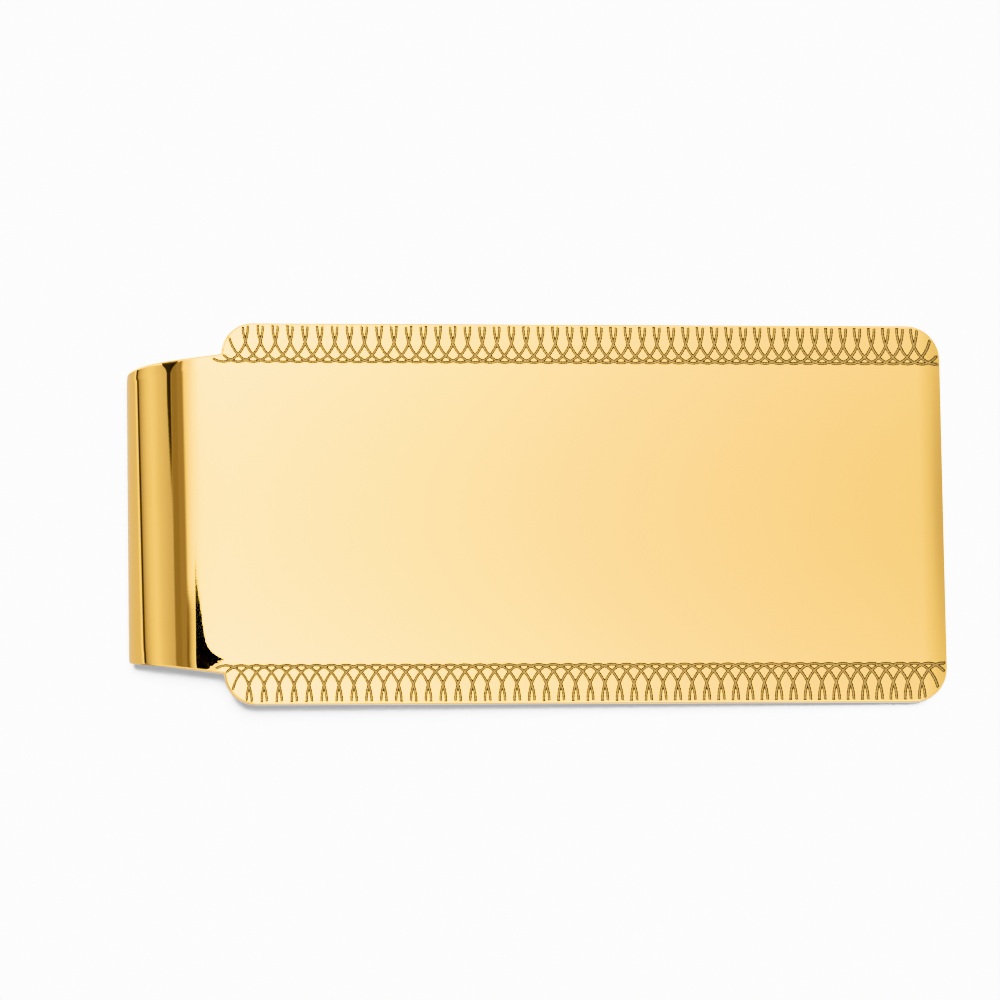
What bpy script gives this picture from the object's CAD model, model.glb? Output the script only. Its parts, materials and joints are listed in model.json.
"""Looks of the folded gilt money clip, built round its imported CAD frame.

The clip is one sheet, so it is drawn the way it is made: as a flat blank with rounded, polished edges,
which is then bent along its profile. Every length below is in millimetres, in the show plate's own
frame (x from the fold's centre line to the free end, y across, z out of the show face), and is placed
in the row frame from the record's mount and joint.
"""

import json
import math

import bmesh
import bpy
import numpy as np
from mathutils import Matrix, Vector
from mathutils.geometry import delaunay_2d_cdt
from mathutils.kdtree import KDTree


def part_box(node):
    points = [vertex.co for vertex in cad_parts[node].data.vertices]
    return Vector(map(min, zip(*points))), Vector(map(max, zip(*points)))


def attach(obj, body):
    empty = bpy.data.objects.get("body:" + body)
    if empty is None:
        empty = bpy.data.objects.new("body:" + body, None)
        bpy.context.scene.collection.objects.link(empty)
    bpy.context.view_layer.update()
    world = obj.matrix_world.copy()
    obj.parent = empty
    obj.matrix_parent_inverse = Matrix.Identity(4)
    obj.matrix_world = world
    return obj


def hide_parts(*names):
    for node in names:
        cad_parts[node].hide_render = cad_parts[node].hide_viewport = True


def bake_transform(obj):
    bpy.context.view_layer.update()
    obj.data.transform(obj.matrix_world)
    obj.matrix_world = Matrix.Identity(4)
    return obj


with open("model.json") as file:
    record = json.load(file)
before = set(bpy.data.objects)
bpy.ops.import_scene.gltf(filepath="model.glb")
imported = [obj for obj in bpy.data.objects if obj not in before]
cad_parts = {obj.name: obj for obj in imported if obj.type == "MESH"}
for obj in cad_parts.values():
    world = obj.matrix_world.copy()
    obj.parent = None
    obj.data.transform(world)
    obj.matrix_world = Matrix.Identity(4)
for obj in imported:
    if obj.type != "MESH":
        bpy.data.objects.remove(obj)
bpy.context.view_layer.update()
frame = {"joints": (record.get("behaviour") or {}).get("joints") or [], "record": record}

MM = 0.001

# ---- The clip's frame and sizes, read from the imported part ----

MOUNT = frame["record"]["mounts"][0]
JOINT = frame["joints"][0]
FACE_NORMAL = np.array(MOUNT["axis"], float)
FACE_CENTRE = np.array(MOUNT["pos_m"], float)
FOLD_CENTRE = np.array(JOINT["pos_m"], float)
TILT = math.atan2(FACE_NORMAL[0], FACE_NORMAL[2])
FOLD_R = float((FACE_CENTRE - FOLD_CENTRE) @ FACE_NORMAL) / MM
ALONG = np.array([math.cos(TILT), 0.0, -math.sin(TILT)])
ORIGIN = FOLD_CENTRE + FACE_NORMAL * FOLD_R * MM


def box_size(node):
    low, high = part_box(node)
    return (high - low) / MM


neck_box = box_size("neck")
SPREAD = math.cos(TILT) ** 2 - math.sin(TILT) ** 2
SHEET_T = (neck_box.z * math.cos(TILT) - neck_box.x * math.sin(TILT)) / SPREAD
NECK_L = (neck_box.x * math.cos(TILT) - neck_box.z * math.sin(TILT)) / SPREAD
NECK_W = neck_box.y
PLATE_W = box_size("show_plate").y
PLATE_L = (box_size("show_plate").x - SHEET_T * math.sin(TILT)) / math.cos(TILT)
FREE_END = NECK_L + PLATE_L
HALF_T = SHEET_T / 2

SHOULDER_R = 2.1
END_CORNER_R = 2.35
INNER_CORNER_R = 0.18
STRIP_TAPER = math.radians(7.5)
CREST_X = 36.0
CREST_R = 6.0
CREST_GAP = 0.15
LIP_SLOPE = math.radians(20)
LIP_L = 4.5

crest_z = -SHEET_T - CREST_GAP - CREST_R
centres_apart = math.hypot(CREST_X, crest_z + FOLD_R)
LEG_SLOPE = math.atan2(crest_z + FOLD_R, CREST_X) + math.asin(
    (FOLD_R - SHEET_T + CREST_R) / centres_apart
)

# ---- The bent profile of the sheet's middle, from the shoulders to the lip's tip ----

STEP = 0.01
EASE_TOP = 2.6        # length over which the flat neck passes into the fold
EASE_BOTTOM = 1.6     # the same, between the fold and the leg
CREST_EASE = 0.5


def smooth(x):
    x = np.clip(x, 0.0, 1.0)
    return x * x * (3 - 2 * x)


def ease_in(s, start, length):
    return np.clip((s - start) / length, 0.0, 1.0)


def walk(turning, start_heading, start_point):
    """Headings and points along a path whose turning rate is given at each step."""
    heading = start_heading + np.concatenate([[0], np.cumsum((turning[1:] + turning[:-1]) / 2)]) * STEP
    cosine, sine = np.cos(heading), np.sin(heading)
    x = np.concatenate([[0], np.cumsum((cosine[1:] + cosine[:-1]) / 2)]) * STEP
    z = np.concatenate([[0], np.cumsum((sine[1:] + sine[:-1]) / 2)]) * STEP
    return heading, start_point[0] + x, start_point[1] + z


def fold_path(rate):
    """The fold's middle line at a given full turning rate, placed so that it just fits the CAD box."""
    constant = (math.pi + LEG_SLOPE) / rate - (EASE_TOP + EASE_BOTTOM) / 2
    total = EASE_TOP + constant + EASE_BOTTOM
    s = np.arange(0, total + STEP, STEP)
    turning = rate * ease_in(s, 0, EASE_TOP) * (1 - ease_in(s, EASE_TOP + constant, EASE_BOTTOM))
    heading, x, z = walk(turning, math.pi, (0.0, -HALF_T))
    outer_x, outer_z = x + np.sin(heading) * HALF_T, z - np.cos(heading) * HALF_T
    reach = np.min(outer_x * math.cos(TILT) + outer_z * math.sin(TILT))
    wanted = -FOLD_R * math.sin(TILT) - FOLD_R
    shift = (wanted - reach) / math.cos(TILT)
    return s, turning, heading, x + shift, z, shift


def leg_miss(rate):
    """How far the end of the fold lies outside the CAD leg's middle line."""
    path = fold_path(rate)
    nx, nz = math.sin(LEG_SLOPE), -math.cos(LEG_SLOPE)
    return path[3][-1] * nx + (path[4][-1] + FOLD_R) * nz - (FOLD_R - HALF_T)


low_rate, high_rate = 1 / (FOLD_R - HALF_T), 1.25 / (FOLD_R - HALF_T)
for _ in range(40):
    middle_rate = (low_rate + high_rate) / 2
    if leg_miss(middle_rate) > 0:
        low_rate = middle_rate
    else:
        high_rate = middle_rate
fold = fold_path(high_rate)
EASE_START = fold[5]                       # x where the flat neck begins to bend
fold_length = fold[0][-1]

# The leg runs straight from the fold to the crest, and the lip slopes down behind the crest.
mid_crest_r = CREST_R - HALF_T
crest_start = (
    CREST_X - mid_crest_r * math.sin(LEG_SLOPE),
    crest_z + mid_crest_r * math.cos(LEG_SLOPE),
)
leg_length = math.hypot(crest_start[0] - fold[3][-1], crest_start[1] - fold[4][-1])
crest_length = mid_crest_r * (LEG_SLOPE + LIP_SLOPE)
flat_length = NECK_L - EASE_START          # flat neck, from the shoulders to the bend
LEG_START = flat_length + fold_length
CREST_START = LEG_START + leg_length
LIP_START = CREST_START + crest_length
STRIP_END = LIP_START + LIP_L

s_table = np.arange(0, STRIP_END + STEP, STEP)
turning_table = np.interp(s_table - flat_length, fold[0], fold[1], left=0, right=0)
turning_table -= (1 / mid_crest_r) * (
    ease_in(s_table, CREST_START - CREST_EASE / 2, CREST_EASE)
    - ease_in(s_table, LIP_START - CREST_EASE / 2, CREST_EASE)
)
heading_table, x_table, z_table = walk(turning_table, math.pi, (NECK_L, -HALF_T))


def half_width(s):
    return NECK_W / 2 - s * math.tan(STRIP_TAPER)


# ---- The polished edge: a small fillet, and inside it a roll-off that grows along the fold ----

FILLET_R = 0.12
FILLET_STEPS = 5
ROLL_L = 0.9
ROLL_STEPS = 7
ROLL_DEPTH = 0.04
ROLL_POWER = 2.5
ROLL_GROWTH = 2.0             # length along the fold over which the roll-off reaches its full depth
SEAM_X = EASE_START + 0.1     # where the plate's piece meets the fold's


def roll(d, depth):
    """How far the face drops at a distance from the edge, and the slope of that drop."""
    inside = np.clip(1 - np.asarray(d, float) / ROLL_L, 0, 1)
    slope = ROLL_POWER * depth / ROLL_L * inside ** (ROLL_POWER - 1)
    return depth * inside**ROLL_POWER, slope


def edge_section(depth):
    """Half of the edge's section, from the side's middle up to the flat: (inset, height, out, up)."""
    fillet_end = FILLET_R
    for _ in range(6):
        slope = float(roll(fillet_end, depth)[1])
        last_angle = math.pi / 2 - math.atan(slope)
        fillet_end = FILLET_R * (1 - math.cos(last_angle))
    centre = HALF_T - float(roll(fillet_end, depth)[0]) - FILLET_R * math.sin(last_angle)
    rows = []
    for i in range(FILLET_STEPS + 1):
        angle = last_angle * i / FILLET_STEPS
        out, up = math.cos(angle), math.sin(angle)
        rows.append((FILLET_R * (1 - out), centre + FILLET_R * up, out, up))
    for i in range(1, ROLL_STEPS + 1):
        d = fillet_end + (ROLL_L - fillet_end) * (i / ROLL_STEPS) ** 1.3
        drop, slope = roll(d, depth)
        size = math.hypot(1, slope)
        rows.append((d, HALF_T - float(drop), float(slope) / size, 1 / size))
    return rows


def strip_section(s):
    grown = smooth((s - NECK_L + SEAM_X) / ROLL_GROWTH)
    return edge_section(ROLL_DEPTH * float(grown))


FLAT_SECTION = edge_section(0.0)

# ---- The shallow dent beside the lower shoulder, where the sheet was pressed over its former ----

DENT_TILT = 0.015
DENT_SIDE = 0.62              # x of the crease's upper end
DENT_TOP = -3.4
DENT_LOW = -9.95
DENT_FADE = 5.0               # length over which the fold comes back to its own line
DENT_SPREAD = 0.72            # how far the crease has moved towards the plate at its lower end
DENT_FLARE = 1.35             # how much further it sweeps out in a curve just before that end
FLARE_POWER = 13
DENT_BACK = 0.12              # the crease's slope back towards the fold, below that end
CREASE = 0.04                 # how softly the facet meets the sheet
DENT_FOOT = (2.42, -10.03)    # a place at the foot of the short ramp that ends the dent by the border
DENT_RAMP = 0.08              # slope of that ramp
RAMP_TURN = math.radians(42)
DENT_RATE = high_rate / EASE_TOP
CURL_L = 1.6                  # the free end curls down a little over this length
CURL_DEPTH = 0.045
CURL_POWER = 2.2
DENT_LEFT = EASE_START - math.sqrt(2 * DENT_TILT / DENT_RATE)


def dent(x, y):
    """Height of the dent and of the free end's curl, zero or less, at places on the unrolled sheet in
    the plate's frame. The dent is a flat facet, which leaves the sheet at a curved crease and meets the
    fold where both lean alike."""
    x, y = np.asarray(x, float), np.asarray(y, float)
    down = np.clip((DENT_TOP - y) / (DENT_TOP - DENT_LOW), 0, 1)
    back = DENT_BACK * np.clip(DENT_LOW - y, 0, 1)
    swept = DENT_SPREAD * down + DENT_FLARE * down**FLARE_POWER
    crease = np.maximum(DENT_SIDE + swept - back, DENT_LEFT)
    reach = crease - np.maximum(x, DENT_LEFT)
    reach = (reach + np.sqrt(reach**2 + CREASE**2)) / 2
    bend = np.clip(EASE_START - crease + reach, 0, None) ** 3
    bend_at_crease = np.clip(EASE_START - crease, 0, None) ** 3
    sunk = DENT_TILT * reach - DENT_RATE / 6 * (bend - bend_at_crease)
    sunk = np.clip(sunk, 0, None) * (1 - smooth((DENT_LEFT - x) / DENT_FADE)) * smooth(-y / 2)
    climb = (DENT_FOOT[0] - x) * math.sin(RAMP_TURN) + (y - DENT_FOOT[1]) * math.cos(RAMP_TURN)
    sunk = np.minimum(sunk, DENT_RAMP * np.clip(climb, 0, None))
    return -sunk - CURL_DEPTH * np.clip(1 - (FREE_END - x) / CURL_L, 0, 1) ** CURL_POWER


def dent_slopes(x, y, reach=0.004):
    along = (dent(x + reach, y) - dent(x - reach, y)) / (2 * reach)
    across = (dent(x, y + reach) - dent(x, y - reach)) / (2 * reach)
    return along, across


# ---- Placing and meshing ----


def place(points, vectors=None):
    """Plate-frame millimetres to row-frame metres, or plate-frame directions to row-frame ones."""
    axes = np.array([ALONG, [0, 1, 0], FACE_NORMAL])
    if vectors is not None:
        return vectors @ axes
    return points * MM @ axes + ORIGIN


def solid(name, points, normals, faces, kinds, materials, crisp=()):
    """A closed mesh with its own vertex normals. kinds holds each face's material number, and faces
    whose kind is in crisp, and flat caps, keep the face's own normal."""
    mesh = bpy.data.meshes.new(name)
    mesh.from_pydata(place(points).tolist(), [], [list(f) for f in faces])
    for m in materials:
        mesh.materials.append(m)
    mesh.polygons.foreach_set("material_index", [max(k, 0) for k in kinds])
    sheet = bmesh.new()
    sheet.from_mesh(mesh)
    bmesh.ops.recalc_face_normals(sheet, faces=sheet.faces)
    sheet.to_mesh(mesh)
    sheet.free()
    mesh.polygons.foreach_set("use_smooth", [True] * len(mesh.polygons))
    placed = place(None, normals)
    placed /= np.linalg.norm(placed, axis=1)[:, None]
    loop_normals = np.zeros((len(mesh.loops), 3))
    for polygon, kind in zip(mesh.polygons, kinds):
        for corner in polygon.loop_indices:
            vertex = mesh.loops[corner].vertex_index
            flat = kind < 0 or kind in crisp
            loop_normals[corner] = polygon.normal if flat else placed[vertex]
    mesh.normals_split_custom_set(loop_normals.tolist())
    obj = bpy.data.objects.new(name, mesh)
    bpy.context.scene.collection.objects.link(obj)
    return obj


# ---- The show plate with its neck ----

OUTLINE_STEP = 0.25
FOLD_COLUMNS = 72


class Outline:
    """Free edge of the plate and neck, from the seam's -Y end round to its +Y end. Each sample has a
    point, the step that insets it, and its outward direction."""

    def __init__(self):
        self.points, self.steps, self.out = [], [], []

    def add(self, point, out, step=None):
        self.points.append(point)
        self.out.append(out)
        self.steps.append(step if step is not None else (-out[0], -out[1]))

    def line(self, start, end, out):
        count = max(1, math.ceil(math.dist(start, end) / OUTLINE_STEP))
        for i in range(count + 1):
            share = i / count
            self.add(tuple(a + (b - a) * share for a, b in zip(start, end)), out)

    def arc(self, centre, radius, start, end, inward=1):
        """inward is -1 on a concave corner, whose centre is outside the sheet."""
        count = max(6, math.ceil(abs(end - start) * radius / 0.1))
        for i in range(1, count):
            angle = start + (end - start) * i / count
            direction = (math.cos(angle), math.sin(angle))
            point = (centre[0] + radius * direction[0], centre[1] + radius * direction[1])
            self.add(point, (inward * direction[0], inward * direction[1]))


def plate_outline():
    """Half of the outline is drawn on the -Y side, then mirrored in reverse."""
    edge = Outline()
    slope = math.tan(STRIP_TAPER)
    side_out = (-math.sin(STRIP_TAPER), -math.cos(STRIP_TAPER))

    def neck_y(x):
        return -half_width(NECK_L - x)

    edge.add((SEAM_X, neck_y(SEAM_X)), side_out, (0.0, 1 / math.cos(STRIP_TAPER)))
    # The inner corner's arc touches the neck's side and the start of the shoulder's arc.
    r = INNER_CORNER_R
    shoulder = (NECK_L + SHOULDER_R, -PLATE_W / 2 + SHOULDER_R)
    centre_x = NECK_L - r
    for _ in range(20):
        centre_y = neck_y(centre_x) - r / math.cos(STRIP_TAPER)
        lift = centre_y - shoulder[1]
        centre_x = shoulder[0] - math.sqrt((SHOULDER_R + r) ** 2 - lift**2)
    meet = math.atan2(shoulder[1] - centre_y, shoulder[0] - centre_x)
    touch = (centre_x + r * math.sin(STRIP_TAPER), centre_y + r * math.cos(STRIP_TAPER))
    start = (SEAM_X + 0.2, neck_y(SEAM_X + 0.2))
    edge.line(start, touch, side_out)
    edge.arc((centre_x, centre_y), r, math.pi / 2 - STRIP_TAPER, meet, -1)
    first = meet + math.pi
    edge.arc(shoulder, SHOULDER_R, first - 0.02, 1.5 * math.pi)
    edge.line(
        (NECK_L + SHOULDER_R, -PLATE_W / 2), (FREE_END - END_CORNER_R, -PLATE_W / 2), (0.0, -1.0)
    )
    corner = (FREE_END - END_CORNER_R, -PLATE_W / 2 + END_CORNER_R)
    edge.arc(corner, END_CORNER_R, 1.5 * math.pi, 2 * math.pi)
    edge.line((FREE_END, corner[1]), (FREE_END, 0.0), (1.0, 0.0))
    count = len(edge.points)
    for i in range(count - 2, -1, -1):
        point, out, step = edge.points[i], edge.out[i], edge.steps[i]
        edge.add((point[0], -point[1]), (out[0], -out[1]), (step[0], -step[1]))
    return edge


edge = plate_outline()
edge_points = np.array(edge.points)
edge_steps = np.array(edge.steps)
edge_out = np.array(edge.out)


def edge_distance(points):
    """Distance from the free edge."""
    starts, ends = edge_points[:-1], edge_points[1:]
    run = ends - starts
    length2 = (run**2).sum(1)
    distance = np.zeros(len(points))
    for i in range(0, len(points), 2000):
        part = points[i : i + 2000]
        share = ((part[:, None] - starts) * run).sum(2) / length2
        foot = starts + np.clip(share, 0, 1)[:, :, None] * run
        distance[i : i + 2000] = np.sqrt(((part[:, None] - foot) ** 2).sum(2)).min(1)
    return distance


# ---- The engraved borders: rows of overlapping half ellipses, mouths towards the edge ----

LOOPS = 50
FIRST_LOOP = 2.69
LOOP_PITCH = 1.0155
LOOP_SQUEEZE = 0.00028         # the loops are cut a little closer together towards the free end
LOOP_A = 1.69
LOOP_B = 2.418
BORDER_Y = 10.31
CUT_HALF = 0.112
CUT_RIM = 0.12                # half the width of a cut, with its ripple
CUT_FLOOR = 0.05
CUT_DEPTH = 0.055
CUT_CAP = 0.03                # how far a cut runs on beyond the end of its middle line
CUT_STOP = FILLET_R + CUT_CAP + 0.01
LOOP_SEGMENTS = 62
RIM_ROOM = 0.015              # the least gap between a cut's side and the fillet


def directions(line):
    """Unit vectors along a middle line, and to the left of it."""
    ahead = np.gradient(line, axis=0)
    ahead /= np.linalg.norm(ahead, axis=1)[:, None]
    return ahead, np.column_stack([-ahead[:, 1], ahead[:, 0]])


def loop_runs(centre_x, side):
    """The stretches of one loop's middle line that lie on the sheet."""
    angles = math.pi * np.arange(LOOP_SEGMENTS + 1) / LOOP_SEGMENTS
    points = np.column_stack(
        [
            centre_x + LOOP_A * np.cos(angles),
            side * (BORDER_Y + LOOP_B - LOOP_B * np.sin(angles)),
        ]
    )
    inside = (
        (edge_distance(points) > CUT_STOP)
        & (points[:, 0] > SEAM_X)
        & on_sheet(points, edge_points)
    )
    _, left = directions(points)
    for rim in (points - left * CUT_RIM, points + left * CUT_RIM):
        inside &= (edge_distance(rim) > FILLET_R + RIM_ROOM) & on_sheet(rim, edge_points)
    runs, current = [], []
    for point, kept in zip(points, inside):
        if kept:
            current.append(point)
        elif current:
            runs.append(current)
            current = []
    if current:
        runs.append(current)
    return [np.array(run) for run in runs if len(run) > 3]


def on_sheet(points, ring):
    """Whether each point is inside a ring, which is closed across the seam."""
    x, y = points[:, 0], points[:, 1]
    ring = np.vstack([ring, ring[:1]])
    inside = np.zeros(len(points), bool)
    for (x1, y1), (x2, y2) in zip(ring[:-1], ring[1:]):
        if y1 == y2:
            continue
        crosses = (y1 > y) != (y2 > y)
        inside ^= crosses & (x < x1 + (y - y1) * (x2 - x1) / (y2 - y1))
    return inside


def stadium(run, half, ripple):
    """Closed outline at a distance from a middle line, with round ends. ripple varies its width."""
    ahead, left = directions(run)
    wave = half * (1 + ripple * (-1.0) ** np.arange(len(run)))[:, None]
    cap_angles = math.pi * np.arange(1, 5) / 5

    def cap(point, direction, sideways):
        return [
            point + half * math.cos(t) * sideways + CUT_CAP * math.sin(t) * direction
            for t in cap_angles
        ]

    there, back = run + left * wave, (run - left * wave)[::-1]
    return [
        *there,
        *cap(run[-1], ahead[-1], left[-1]),
        *back,
        *cap(run[0], -ahead[0], -left[0]),
    ]


cut_runs = [
    run
    for side in (-1, 1)
    for i in range(LOOPS)
    for run in loop_runs(FIRST_LOOP + i * LOOP_PITCH - i * i * LOOP_SQUEEZE, side)
]
fine = []
for run in cut_runs:
    steps = np.linspace(0, len(run) - 1, (len(run) - 1) * 6 + 1)
    index = np.arange(len(run))
    fine.append(np.column_stack([np.interp(steps, index, run[:, k]) for k in (0, 1)]))
fine = np.vstack(fine)
cut_tree = KDTree(len(fine))
for i, point in enumerate(fine):
    cut_tree.insert((point[0], point[1], 0), i)
cut_tree.balance()


def cut_distance(points):
    return np.array([cut_tree.find((p[0], p[1], 0))[2] for p in points])


def cut_profile(distance):
    """Depth of the engraving at a distance from its middle line: a flat floor and two sloping walls."""
    wall = np.clip((CUT_HALF - distance) / (CUT_HALF - CUT_FLOOR), 0, 1)
    return CUT_DEPTH * wall


def plate_face(engraved):
    """Triangles of one face, inside the fillet: points in the plane, and triangles."""
    inner = edge_points + edge_steps * FILLET_R
    points = [Vector(p) for p in [*inner, *seam_line()]]
    edges = [(i, (i + 1) % len(points)) for i in range(len(points))]
    seam_first, seam_last = len(inner), len(points) - 1

    def add(chain):
        first = len(points)
        points.extend(Vector((float(p[0]), float(p[1]))) for p in chain)
        return list(range(first, len(points)))

    # Rings along the edge, each of which ends at two of the seam's own points.
    for k, row in enumerate(FLAT_SECTION[FILLET_STEPS + 1 :]):
        ring = add((edge_points + edge_steps * row[0])[1:-1])
        ring = [seam_last - k, *ring, seam_first + k]
        edges.extend(zip(ring[:-1], ring[1:]))
    if engraved:
        for run in cut_runs:
            for half, ripple in ((CUT_HALF, 0.07), (CUT_FLOOR, -0.12)):
                loop = add(stadium(run, half, ripple))
                edges.extend(zip(loop, [*loop[1:], loop[0]]))
    # Fine points over the dent, and coarse ones over the rest.
    for x in np.arange(SEAM_X + 0.09, 3.0, 0.09):
        for y in np.arange(-NECK_W / 2 + 0.4, -8.6, 0.09):
            points.append(Vector((x, y)))
    for x in np.arange(4.0, FREE_END - 1.5, 1.5):
        for y in np.arange(-9, 9.1, 1.5):
            points.append(Vector((x, y)))
    flat, _, triangles, *_ = delaunay_2d_cdt(points, edges, [], 1, 1e-6, False)
    flat = np.array([(p.x, p.y) for p in flat])
    centres = np.array([flat[list(t)].mean(0) for t in triangles])
    triangles = [t for t, kept in zip(triangles, on_sheet(centres, inner)) if kept]
    return flat, triangles


def plate_piece(materials):
    """The engraved plate: two triangulated faces joined by the fillets and the side wall."""
    points, normals, faces, kinds = [], [], [], []

    def face(engraved, sign):
        flat, triangles = plate_face(engraved)
        height = np.full(len(flat), HALF_T)
        near = np.full(len(flat), 9.0)
        if engraved:
            border = np.abs(flat[:, 1]) > BORDER_Y - 0.3
            near[border] = cut_distance(flat[border])
        height -= cut_profile(near)
        dent_x, dent_y = dent_slopes(flat[:, 0], flat[:, 1])
        z = -HALF_T + sign * height + dent(flat[:, 0], flat[:, 1])
        first = len(points)
        for i in range(len(flat)):
            points.append((flat[i, 0], flat[i, 1], z[i]))
            normals.append((-sign * dent_x[i], -sign * dent_y[i], sign))
        centres = np.array([np.mean([flat[j] for j in t], axis=0) for t in triangles])
        middle = np.full(len(triangles), 9.0)
        if engraved:
            border = np.abs(centres[:, 1]) > BORDER_Y - 0.3
            middle[border] = cut_distance(centres[border])
        for t, m in zip(triangles, middle):
            faces.append([first + j for j in (t if sign > 0 else t[::-1])])
            cut = CUT_HALF * 0.97
            kinds.append(2 if m < CUT_FLOOR * 1.02 else 1 if m < cut else 0)
        return first, flat

    def welded(first, flat, wanted):
        """The numbers of the face's vertices at some wanted places."""
        tree = KDTree(len(flat))
        for i, p in enumerate(flat):
            tree.insert((p[0], p[1], 0), i)
        tree.balance()
        found = []
        for p in wanted:
            _, index, gap = tree.find((p[0], p[1], 0))
            if gap > 1e-4:
                raise ValueError("a point of the plate's edge is missing from its face")
            found.append(first + index)
        return found

    top_first, top_flat = face(True, 1)
    low_first, low_flat = face(False, -1)
    inner = edge_points + edge_steps * FILLET_R
    columns = [welded(top_first, top_flat, inner)]
    fillet = FLAT_SECTION[:FILLET_STEPS]
    rows = fillet[::-1] + [(d, -h, o, -u) for d, h, o, u in fillet]
    dent_edge = dent(edge_points[:, 0], edge_points[:, 1])
    for d, h, o, u in rows:
        first = len(points)
        ring = edge_points + edge_steps * d
        for p, out, lower in zip(ring, edge_out, dent_edge):
            points.append((p[0], p[1], -HALF_T + h + lower))
            normals.append((out[0] * o, out[1] * o, u))
        columns.append(list(range(first, len(points))))
    columns.append(welded(low_first, low_flat, inner))
    for upper, lower in zip(columns[:-1], columns[1:]):
        for i in range(len(inner) - 1):
            faces.append([upper[i], lower[i], lower[i + 1], upper[i + 1]])
            kinds.append(0)
    across = seam_line()
    cap = [column[-1] for column in columns[1:-1]]
    cap_low = [column[0] for column in columns[1:-1]]
    top_line = welded(top_first, top_flat, [inner[-1], *across, inner[0]])
    low_line = welded(low_first, low_flat, [inner[-1], *across, inner[0]])
    faces.append(top_line + cap_low + low_line[::-1] + cap[::-1])
    kinds.append(-1)
    return solid(
        "show_plate_engraved",
        np.array(points),
        np.array(normals, float),
        faces,
        kinds,
        materials,
        crisp=(1, 2),
    )


def seam_line():
    """Points across the seam, from +Y to -Y, the same as on the fold's first ring."""
    half = half_width(NECK_L - SEAM_X)
    insets = [row[0] / math.cos(STRIP_TAPER) for row in FLAT_SECTION[FILLET_STEPS + 1 :]]
    inner = half - insets[-1]
    plain = [inner * (1 - 2 * i / FOLD_COLUMNS) for i in range(1, FOLD_COLUMNS)]
    rim = [half - inset for inset in insets]
    return [(SEAM_X, y) for y in [*rim, *plain, *(-y for y in rim[::-1])]]


# ---- The bent strip: fold, leg and lip ----


def strip_piece(name, samples, columns, materials, round_end=False, use_dent=False):
    """A stretch of the strip. Each sample is (s, half width, inset step, outward direction) on the +Y
    side. The section's ring at each one goes over the top from +Y to -Y, then back underneath."""
    points, normals, faces, kinds = [], [], [], []
    rings = []
    for s, w, step, out in samples:
        ring = []
        section = strip_section(s)

        def add(at_s, y, n, normal):
            heading = np.interp(at_s, s_table, heading_table)
            x = np.interp(at_s, s_table, x_table)
            z = np.interp(at_s, s_table, z_table)
            turning = np.interp(at_s, s_table, turning_table)
            ahead = np.array([math.cos(heading), 0.0, math.sin(heading)])
            outward = np.array([math.sin(heading), 0.0, -math.cos(heading)])
            stretch = 1 + n * turning
            vector = np.array([normal[0] / stretch, normal[1], normal[2]], float)
            if use_dent:
                flat_x = NECK_L - at_s
                n = n + float(dent(flat_x, y))
                slope_x, slope_y = dent_slopes(flat_x, y)
                vector[0] += float(slope_x) * abs(vector[2]) * (1 if normal[2] > 0 else -1)
                vector[1] -= float(slope_y) * vector[2]
            place_at = np.array([x, y, z]) + outward * n
            direction = ahead * vector[0] + np.array([0, vector[1], 0]) + outward * vector[2]
            points.append(place_at)
            normals.append(direction)
            ring.append(len(points) - 1)

        for d, h, o, u in section:
            add(s + step[0] * d, w + step[1] * d, h, (out[0] * o, out[1] * o, u))
        inner_s, inner_w = s + step[0] * ROLL_L, w + step[1] * ROLL_L
        for i in range(1, columns):
            add(inner_s, inner_w * (1 - 2 * i / columns), HALF_T, (0, 0, 1))
        for d, h, o, u in section[::-1]:
            add(s + step[0] * d, -(w + step[1] * d), h, (out[0] * o, -out[1] * o, u))
        for d, h, o, u in section:
            add(s + step[0] * d, -(w + step[1] * d), -h, (out[0] * o, -out[1] * o, -u))
        for i in range(1, columns):
            add(inner_s, -inner_w * (1 - 2 * i / columns), -HALF_T, (0, 0, -1))
        for d, h, o, u in section[::-1]:
            add(s + step[0] * d, w + step[1] * d, -h, (out[0] * o, out[1] * o, -u))
        rings.append(ring)
    if round_end:
        merge_tip(rings, points)
    count = len(rings[0])
    for near, far in zip(rings[:-1], rings[1:]):
        for i in range(count):
            j = (i + 1) % count
            quad = [near[i], near[j], far[j], far[i]]
            kept = [v for k, v in enumerate(quad) if v != quad[k - 1]]
            if len(set(kept)) > 2:
                faces.append(kept)
                kinds.append(0)
    faces.append(rings[0])
    kinds.append(-1)
    if not round_end:
        faces.append(rings[-1])
        kinds.append(-1)
    used = sorted({v for f in faces for v in f})
    renumber = {v: i for i, v in enumerate(used)}
    faces = [[renumber[v] for v in f] for f in faces]
    return solid(
        name,
        np.array([points[v] for v in used]),
        np.array([normals[v] for v in used], float),
        faces,
        kinds,
        materials,
    )


def merge_tip(rings, points):
    """The last ring is at the tip, where its two sides are one."""
    last, seen = rings[-1], {}
    for k, v in enumerate(last):
        key = tuple(np.round(points[v], 5))
        last[k] = seen.setdefault(key, v)


def straight_samples(start, end, step):
    """Evenly spaced samples along the tapering strip."""
    count = max(1, math.ceil((end - start) / step))
    inset = (0.0, -1 / math.cos(STRIP_TAPER))
    out = (math.sin(STRIP_TAPER), math.cos(STRIP_TAPER))
    return [
        (s, half_width(s), inset, out) for s in np.linspace(start, end, count + 1)
    ]


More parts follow.
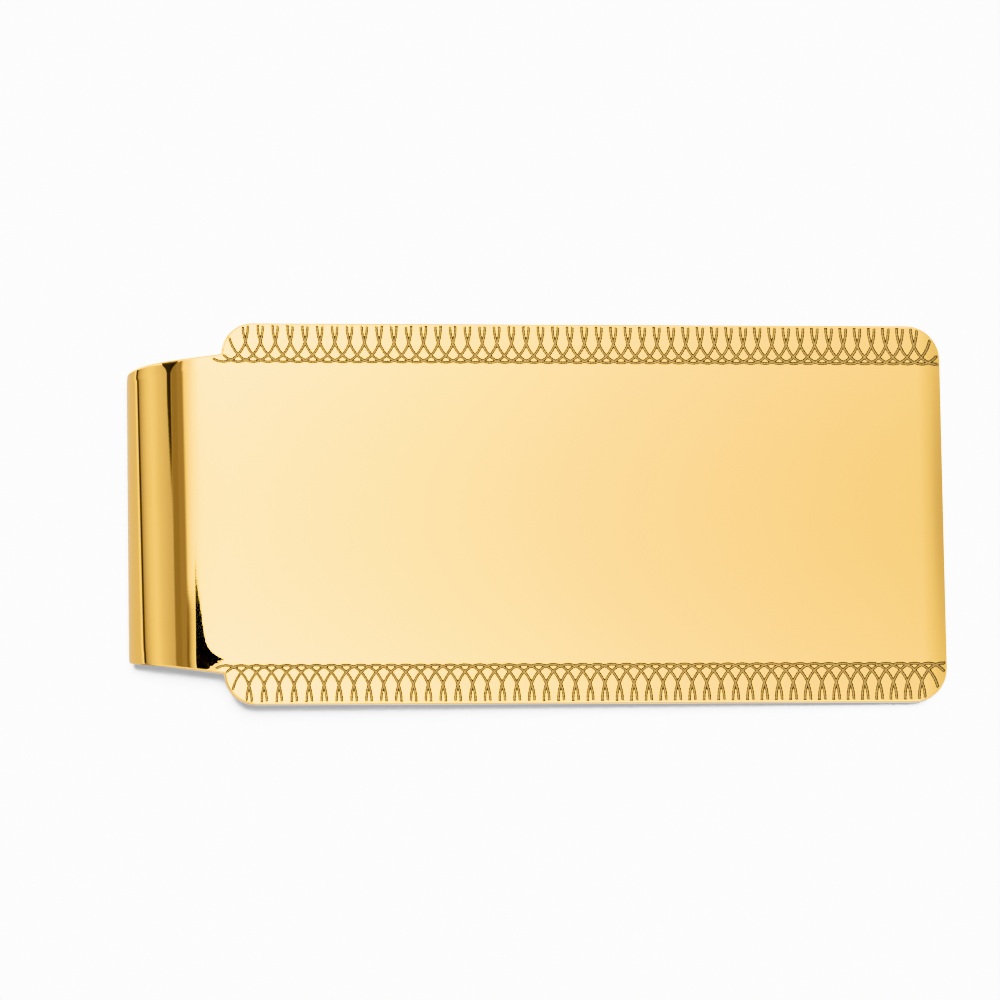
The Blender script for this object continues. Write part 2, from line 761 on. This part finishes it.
def lip_samples(start):
    """The crest and lip: the sides go on tapering in plan, then run into a full round tip."""
    start_x = CREST_X - CREST_R * math.sin(LEG_SLOPE)
    start_w = half_width(CREST_START)
    end_x = CREST_X + CREST_R * math.sin(LIP_SLOPE) + LIP_L * math.cos(LIP_SLOPE)
    end_w = start_w - (end_x - start_x) * math.tan(STRIP_TAPER)
    tip_r = end_w * math.cos(STRIP_TAPER) / (1 - math.sin(STRIP_TAPER))
    last_x = x_table[-1]
    round_x = last_x - tip_r
    forward = slice(int(LEG_START / STEP), None)

    def s_at(x):
        return float(np.interp(x, x_table[forward], s_table[forward]))

    samples = straight_samples(start, CREST_START, 0.4)[:-1]
    tangent_x = round_x + tip_r * math.sin(STRIP_TAPER)
    inset = (0.0, -1 / math.cos(STRIP_TAPER))
    out = (math.sin(STRIP_TAPER), math.cos(STRIP_TAPER))
    run = s_at(tangent_x) - CREST_START
    count = math.ceil(run / 0.2)
    for i in range(count):
        s = CREST_START + run * i / count
        x = float(np.interp(s, s_table, x_table))
        samples.append((s, start_w - (x - start_x) * math.tan(STRIP_TAPER), inset, out))
    steps = 40
    for i in range(steps + 1):
        angle = STRIP_TAPER + (math.pi / 2 - STRIP_TAPER) * i / steps
        x = round_x + tip_r * math.sin(angle)
        w = tip_r * math.cos(angle) if i < steps else 0.0
        direction = (math.sin(angle), math.cos(angle))
        samples.append((s_at(x), w, (-direction[0], -direction[1]), direction))
    return samples


# ---- Finishes ----


class Shader:
    """Short names for building a node tree."""

    def __init__(self, tree):
        self.tree = tree
        tree.nodes.clear()

    def node(self, kind, **inputs):
        made = self.tree.nodes.new(kind)
        for name, value in inputs.items():
            self.feed(made.inputs[name.replace("_", " ")], value)
        return made

    def feed(self, socket, value):
        if isinstance(value, bpy.types.NodeSocket):
            self.tree.links.new(value, socket)
        else:
            socket.default_value = value

    def math(self, operation, *values):
        made = self.tree.nodes.new("ShaderNodeMath")
        made.operation = operation
        for socket, value in zip(made.inputs, values):
            self.feed(socket, value)
        return made.outputs[0]

    def ramp(self, value, low, high, start=0.0, end=1.0, soft=True):
        """start where value is low, end where it is high, smooth or straight between."""
        made = self.tree.nodes.new("ShaderNodeMapRange")
        made.interpolation_type = "SMOOTHSTEP" if soft else "LINEAR"
        for socket, given in zip(made.inputs, (value, low, high, start, end)):
            self.feed(socket, given)
        return made.outputs[0]

    def total(self, *values):
        result = values[0]
        for value in values[1:]:
            result = self.math("ADD", result, value)
        return result

    def mix(self, share, first, second):
        """first where share is 0 and second where it is 1, for plain values."""
        return self.math(
            "ADD", self.math("MULTIPLY", self.math("SUBTRACT", second, first), share), first
        )


def gold(name, base, tint, rough_low, rough_high, grain):
    """Polished gold plate. grain is how strong the fine lengthwise lines are."""
    material = bpy.data.materials.new(name)
    material.use_nodes = True
    sh = Shader(material.node_tree)
    place_at = sh.node("ShaderNodeTexCoord").outputs["Object"]

    def noise(stretch, scale, detail, roughness=0.55):
        spread = sh.node("ShaderNodeMapping", Vector=place_at, Scale=stretch)
        made = sh.node(
            "ShaderNodeTexNoise",
            Vector=spread.outputs[0],
            Scale=scale,
            Detail=detail,
            Roughness=roughness,
        )
        return made.outputs["Fac"]

    cloud = noise((1, 1, 1), 160.0, 3.0)
    lines = noise((0.02, 1, 1), 9000.0, 4.0, 0.7)
    scratch = noise((0.05, 1, 1), 2600.0, 6.0, 0.75)
    rough = sh.total(
        sh.ramp(cloud, 0.3, 0.7, rough_low, rough_high, False),
        sh.ramp(scratch, 0.62, 0.72, 0.0, (rough_high - rough_low) * 0.8, False),
    )
    colour = sh.node("ShaderNodeMix")
    colour.data_type = "RGBA"
    sh.feed(colour.inputs["Factor"], sh.ramp(cloud, 0.25, 0.75))
    colour.inputs["A"].default_value = (*base, 1)
    colour.inputs["B"].default_value = (*tint, 1)
    bump = sh.node("ShaderNodeBump", Height=lines, Strength=grain, Distance=0.00001)
    surface = sh.node(
        "ShaderNodeBsdfPrincipled",
        Base_Color=colour.outputs["Result"],
        Metallic=1.0,
        Roughness=rough,
        Normal=bump.outputs[0],
    )
    output = sh.node("ShaderNodeOutputMaterial")
    material.node_tree.links.new(surface.outputs[0], output.inputs[0])
    return material


show_gold = gold("gold_satin", (1.0, 0.66, 0.2), (1.0, 0.655, 0.195), 0.02, 0.036, 0.011)
bright_gold = gold("gold_polish", (1.0, 0.66, 0.2), (1.0, 0.65, 0.19), 0.018, 0.035, 0.015)
cut_wall = gold("engraved_wall", (0.036, 0.022, 0.008), (0.052, 0.031, 0.012), 0.4, 0.55, 0.3)
cut_floor = gold("engraved_floor", (0.26, 0.165, 0.064), (0.33, 0.208, 0.085), 0.35, 0.5, 0.3)

# ---- Building the pieces ----

FOLD_START_S = NECK_L - SEAM_X
FOLD_END_S = LEG_START + 0.1
LIP_START_S = CREST_START - 0.4

plate = plate_piece([show_gold, cut_wall, cut_floor])
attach(plate, "plate")
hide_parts("show_plate", "neck")

fold_sheet = strip_piece(
    "spring_fold_sheet",
    straight_samples(FOLD_START_S, FOLD_END_S, 0.11),
    FOLD_COLUMNS,
    [bright_gold],
    use_dent=True,
)
leg_sheet = strip_piece(
    "back_leg_sheet", straight_samples(FOLD_END_S, LIP_START_S, 1.0), 12, [bright_gold]
)
lip_sheet = strip_piece(
    "lead_in_lip_sheet", lip_samples(LIP_START_S), 16, [bright_gold], round_end=True
)


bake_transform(fold_sheet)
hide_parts("spring_fold")
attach(leg_sheet, "leg")
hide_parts("back_leg")
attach(lip_sheet, "leg")
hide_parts("lead_in_lip")

for piece in (plate, fold_sheet, leg_sheet, lip_sheet):
    piece.visible_diffuse = False          # so the white table takes no yellow glow from the gold

# ---- The studio: a white table, soft panels all round, and a camera almost overhead ----


MIDDLE_RISE = 0.1146          # how far towards +Y the clip's middle line looks, as a share of one


def studio_light():
    """Brightness by direction. Across the clip there is a strip of stripes for the polished metal to
    show, and a wide bright panel lies beyond it on either side."""
    world = bpy.data.worlds.new("studio")
    bpy.context.scene.world = world
    world.use_nodes = True
    sh = Shader(world.node_tree)
    split = sh.node("ShaderNodeSeparateXYZ", Vector=sh.node("ShaderNodeTexCoord").outputs["Generated"])
    dx, dy, dz = split.outputs
    lean = sh.math("MULTIPLY", sh.math("ARCTAN2", sh.math("MULTIPLY", dx, -1.0), dz), 180 / math.pi)
    rise = sh.math("SUBTRACT", dy, MIDDLE_RISE)
    # The panels stand a little askew, each by its own amount, so their edges slant across the clip.
    slant = sh.total(
        sh.ramp(lean, -4.0, 0.0, 0.0, 88.0, False),
        sh.ramp(lean, 20.0, 57.0, 0.0, 172.0, False),
        sh.ramp(lean, 57.0, 95.0, 0.0, 55.0, False),
    )
    slanted = sh.math("MULTIPLY", sh.ramp(rise, -0.03, 0.035, -0.03, 0.035, False), slant)
    angle = sh.math("SUBTRACT", lean, slanted)

    def change(start, end, amount, soft=False):
        """A change of brightness between two angles."""
        return sh.ramp(angle, start, end, 0.0, amount, soft)

    overhead_glow = sh.math("POWER", sh.ramp(angle, -26.0, -10.0, 0.0, 1.0, False), 3.4)
    stripes = sh.total(
        0.7,                                            # the dim wall beyond the clip's free end
        sh.math("MULTIPLY", overhead_glow, 4.7),        # the overhead panel, up to its bright rim
        change(-10, -8.5, -1.5),                        # the rim's inner edge
        change(-9.5, 1.5, -3.5, soft=True),             # the panel fades into a dim gap
        change(6, 9, -0.06, soft=True),
        change(15, 18.5, 0.34, soft=True),              # the side wall begins
        change(18, 43, 0.18),
        change(43, 58, 0.3),                            # a soft panel on the wall
        change(58, 80, -0.41),
        change(80, 90, -0.2, soft=True),
        change(90.5, 93, -0.52),                        # a black flag at table height
        change(96.5, 101, 1.47),                        # a bright band below it
        change(101.5, 106, -0.7),
    )
    # The overhead panel is a little brighter towards its two ends.
    off_middle = sh.math("DIVIDE", rise, 0.033)
    off_middle = sh.math("MINIMUM", sh.math("MULTIPLY", off_middle, off_middle), 1.0)
    lift = sh.math("MULTIPLY", off_middle, sh.ramp(lean, -6.0, -9.0, 0.0, 0.38))
    stripes = sh.math("MULTIPLY", stripes, sh.math("ADD", lift, 1.0))
    # A bright panel further towards +Y, for the rim of the fold to catch.
    this_side = sh.ramp(lean, -26.0, -21.0)
    top_panel = sh.math("MULTIPLY", sh.ramp(dy, 0.27, 0.32), sh.ramp(dy, 0.62, 0.56))
    top_panel = sh.math("MULTIPLY", top_panel, this_side)
    # Far out to either side the light only fades downwards.
    side_light = sh.ramp(dz, -0.3, 0.2, 0.25, 1.8)
    stripes = sh.mix(sh.ramp(dy, 0.56, 0.62), stripes, side_light)
    stripes = sh.mix(top_panel, stripes, 6.5)
    # A dark wedge between the side panel and the overhead one, which widens towards +Y.
    far_side = sh.total(
        sh.ramp(rise, 0.0, 0.02, 17.5, 26.5, False),
        sh.ramp(rise, 0.03, 0.08, 0.0, 3.0, False),
        sh.ramp(rise, 0.08, 0.134, 0.0, 6.0, False),
        sh.ramp(rise, 0.134, 0.3, 0.0, 14.0, False),
    )
    near_side = sh.total(
        sh.ramp(rise, 0.0, 0.02, 16.5, 19.2, False),
        sh.ramp(rise, 0.03, 0.1, 0.0, -4.0, False),
        sh.ramp(rise, 0.1, 0.2, 0.0, -9.0, False),
    )
    wedge = sh.math(
        "MULTIPLY",
        sh.ramp(sh.math("SUBTRACT", lean, far_side), 0.6, -0.8),
        sh.ramp(sh.math("SUBTRACT", lean, near_side), -0.8, 0.8),
    )
    wedge = sh.math("MULTIPLY", wedge, sh.ramp(rise, 0.0, 0.013, 0.0, 0.95))
    wedge = sh.math("MULTIPLY", wedge, sh.ramp(dy, 0.62, 0.56))
    stripes = sh.math("MULTIPLY", stripes, sh.math("SUBTRACT", 1.0, wedge))
    # The camera's dark shape and its softer surround, towards -Y of the overhead panel.
    edge_height = sh.ramp(lean, -9.6, -7.3, 0.0975, 0.108, False)
    shape = sh.math("MULTIPLY", sh.ramp(lean, -9.6, -9.45), sh.ramp(lean, -7.0, -7.4))
    under = sh.math("SUBTRACT", dy, edge_height)
    shape = sh.math("MULTIPLY", shape, sh.ramp(under, 0.001, -0.001))
    shape = sh.math("MULTIPLY", shape, sh.ramp(dy, -0.2, -0.15))
    surround = sh.math("MULTIPLY", sh.ramp(lean, -7.4, -6.9), sh.ramp(lean, 0.0, -2.0))
    surround = sh.math("MULTIPLY", surround, sh.ramp(dy, 0.103, 0.097, 0.0, 0.7))
    shade = sh.math("MAXIMUM", shape, surround)
    stripes = sh.math("MULTIPLY", stripes, sh.math("SUBTRACT", 1.0, shade))
    # A second bright panel towards -Y, for the lower edges.
    low_panel = sh.math("MULTIPLY", sh.ramp(dy, -0.08, -0.12), sh.ramp(dy, -0.55, -0.5))
    low_panel = sh.math("MULTIPLY", low_panel, sh.ramp(lean, -9.0, -9.9))
    low_panel = sh.math("MULTIPLY", low_panel, this_side)
    light = sh.mix(sh.ramp(dy, -0.5, -0.55), stripes, side_light)
    light = sh.mix(low_panel, light, 8.0)

    def tint(share, first, second):
        made = sh.node("ShaderNodeMix")
        made.data_type = "RGBA"
        sh.feed(made.inputs["Factor"], share)
        sh.feed(made.inputs["A"], first)
        sh.feed(made.inputs["B"], second)
        return made.outputs["Result"]

    # The dim parts are warmer than the bright ones.
    colour = tint(sh.ramp(light, 0.2, 1.0), (1.0, 0.8, 0.7, 1), (1.0, 1.0, 1.0, 1))
    colour = tint(sh.ramp(light, 1.8, 4.5), colour, (1.0, 1.06, 0.93, 1))
    background = sh.node("ShaderNodeBackground", Color=colour, Strength=light)
    output = sh.node("ShaderNodeOutputWorld")
    sh.tree.links.new(background.outputs[0], output.inputs[0])
    world.cycles_visibility.diffuse = False


def table_material():
    material = bpy.data.materials.new("white_table")
    material.use_nodes = True
    surface = material.node_tree.nodes["Principled BSDF"]
    surface.inputs["Base Color"].default_value = (TABLE_WHITE, TABLE_WHITE, TABLE_WHITE, 1)
    surface.inputs["Roughness"].default_value = 0.9
    surface.inputs["Specular IOR Level"].default_value = 0.0
    return material


def backdrop_material():
    material = bpy.data.materials.new("white_backdrop")
    material.use_nodes = True
    sh = Shader(material.node_tree)
    glow = sh.node("ShaderNodeEmission", Strength=TABLE_GLOW)
    output = sh.node("ShaderNodeOutputMaterial")
    sh.tree.links.new(glow.outputs[0], output.inputs[0])
    return material


TABLE_R = 1.5
TABLE_WHITE = 0.92
KEY_GLOW = 2.5
FILL_GLOW = 0.45
TABLE_GLOW = KEY_GLOW + FILL_GLOW     # how bright the lit table is, which the backdrop matches
studio_light()
# The lamps light only the table: a key leans in from +Y, and a broad fill softens its shadow.
for name, spread, lean_back, glow in (("key", 13, -3.4, KEY_GLOW), ("fill", 170, 0, FILL_GLOW)):
    lamp_data = bpy.data.lights.new(name, "SUN")
    lamp_data.angle = math.radians(spread)
    lamp_data.energy = glow * math.pi / TABLE_WHITE
    lamp = bpy.data.objects.new(name, lamp_data)
    lamp.rotation_euler = (math.radians(lean_back), 0.0, 0.0)
    lamp.visible_glossy = False
    bpy.context.scene.collection.objects.link(lamp)
bpy.ops.mesh.primitive_circle_add(vertices=96, radius=TABLE_R, fill_type="NGON", location=(0, 0, 0))
table = bpy.context.object
table.name = "table"
table.data.materials.append(table_material())
bpy.ops.mesh.primitive_uv_sphere_add(segments=64, ring_count=32, radius=TABLE_R * 0.99)
backdrop = bpy.context.object
backdrop.name = "backdrop"
backdrop.data.materials.append(backdrop_material())
for obj in (table, backdrop):
    obj.visible_glossy = False
    obj.visible_transmission = False
    obj.visible_volume_scatter = False
backdrop.visible_diffuse = False
backdrop.visible_shadow = False

CAMERA_AIM = (-2.586, 1.052, 4.0)
CAMERA_DISTANCE = 398.86
CAMERA_PITCH = math.radians(-6.698)
CAMERA_YAW = math.radians(2.863)
CAMERA_ROLL = math.radians(0.886)
LENS_SCALE = 14.69            # thousandths of the picture's width to a millimetre, at the aim

turn = (
    Matrix.Rotation(CAMERA_ROLL, 3, "Z")
    @ Matrix.Rotation(CAMERA_PITCH, 3, "X")
    @ Matrix.Rotation(CAMERA_YAW, 3, "Y")
)
camera_data = bpy.data.cameras.new("camera")
camera_data.sensor_width = 36
camera_data.lens = 36 * LENS_SCALE * CAMERA_DISTANCE / 1000
camera_data.clip_start = 0.01
camera_data.clip_end = 20
camera = bpy.data.objects.new("camera", camera_data)
bpy.context.scene.collection.objects.link(camera)
camera.matrix_world = (
    Matrix.Translation((Vector(CAMERA_AIM) + Vector(turn[2]) * CAMERA_DISTANCE) * MM)
    @ turn.transposed().to_4x4()
)
bpy.context.scene.camera = camera

bpy.context.scene.view_settings.view_transform = "Khronos PBR Neutral"
bpy.context.scene.view_settings.look = "None"
